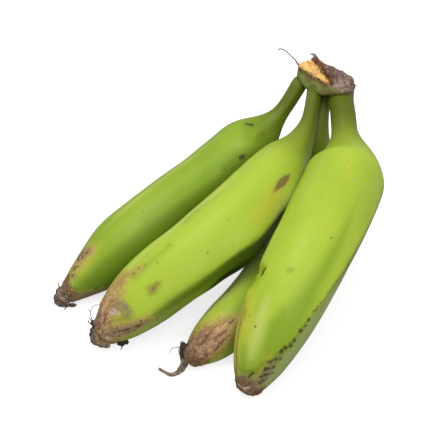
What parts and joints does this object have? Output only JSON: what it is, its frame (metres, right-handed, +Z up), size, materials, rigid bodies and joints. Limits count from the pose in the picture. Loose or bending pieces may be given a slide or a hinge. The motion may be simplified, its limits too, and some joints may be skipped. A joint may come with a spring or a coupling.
{
  "type": "plantain",
  "caption": "Hand of unripe green plantains with curved ridged fingers on slim stalks that join in one torn crown, lying on a surface.",
  "frame": {"origin": "on the surface that the hand lies on, under the centre of its overall box", "axes": "+Y towards the crown along the hand's length, +Z up away from the surface, +X across the hand towards the fattest finger"},
  "size_m": [0.164, 0.2175, 0.1017],
  "materials": {
    "green_peel": "satin",
    "crown_tissue": "matte",
    "dried_blossom": "matte"
  },
  "bodies": {
    "root": {"finger_1": "green_peel", "finger_2": "green_peel", "finger_3": "green_peel", "finger_4": "green_peel", "crown": "crown_tissue", "blossom_stub_1": "dried_blossom", "blossom_stub_2": "dried_blossom", "blossom_scrap_2": "dried_blossom", "dried_style_3": "dried_blossom", "crown_fibre": "dried_blossom"}
  },
  "joints": []
}
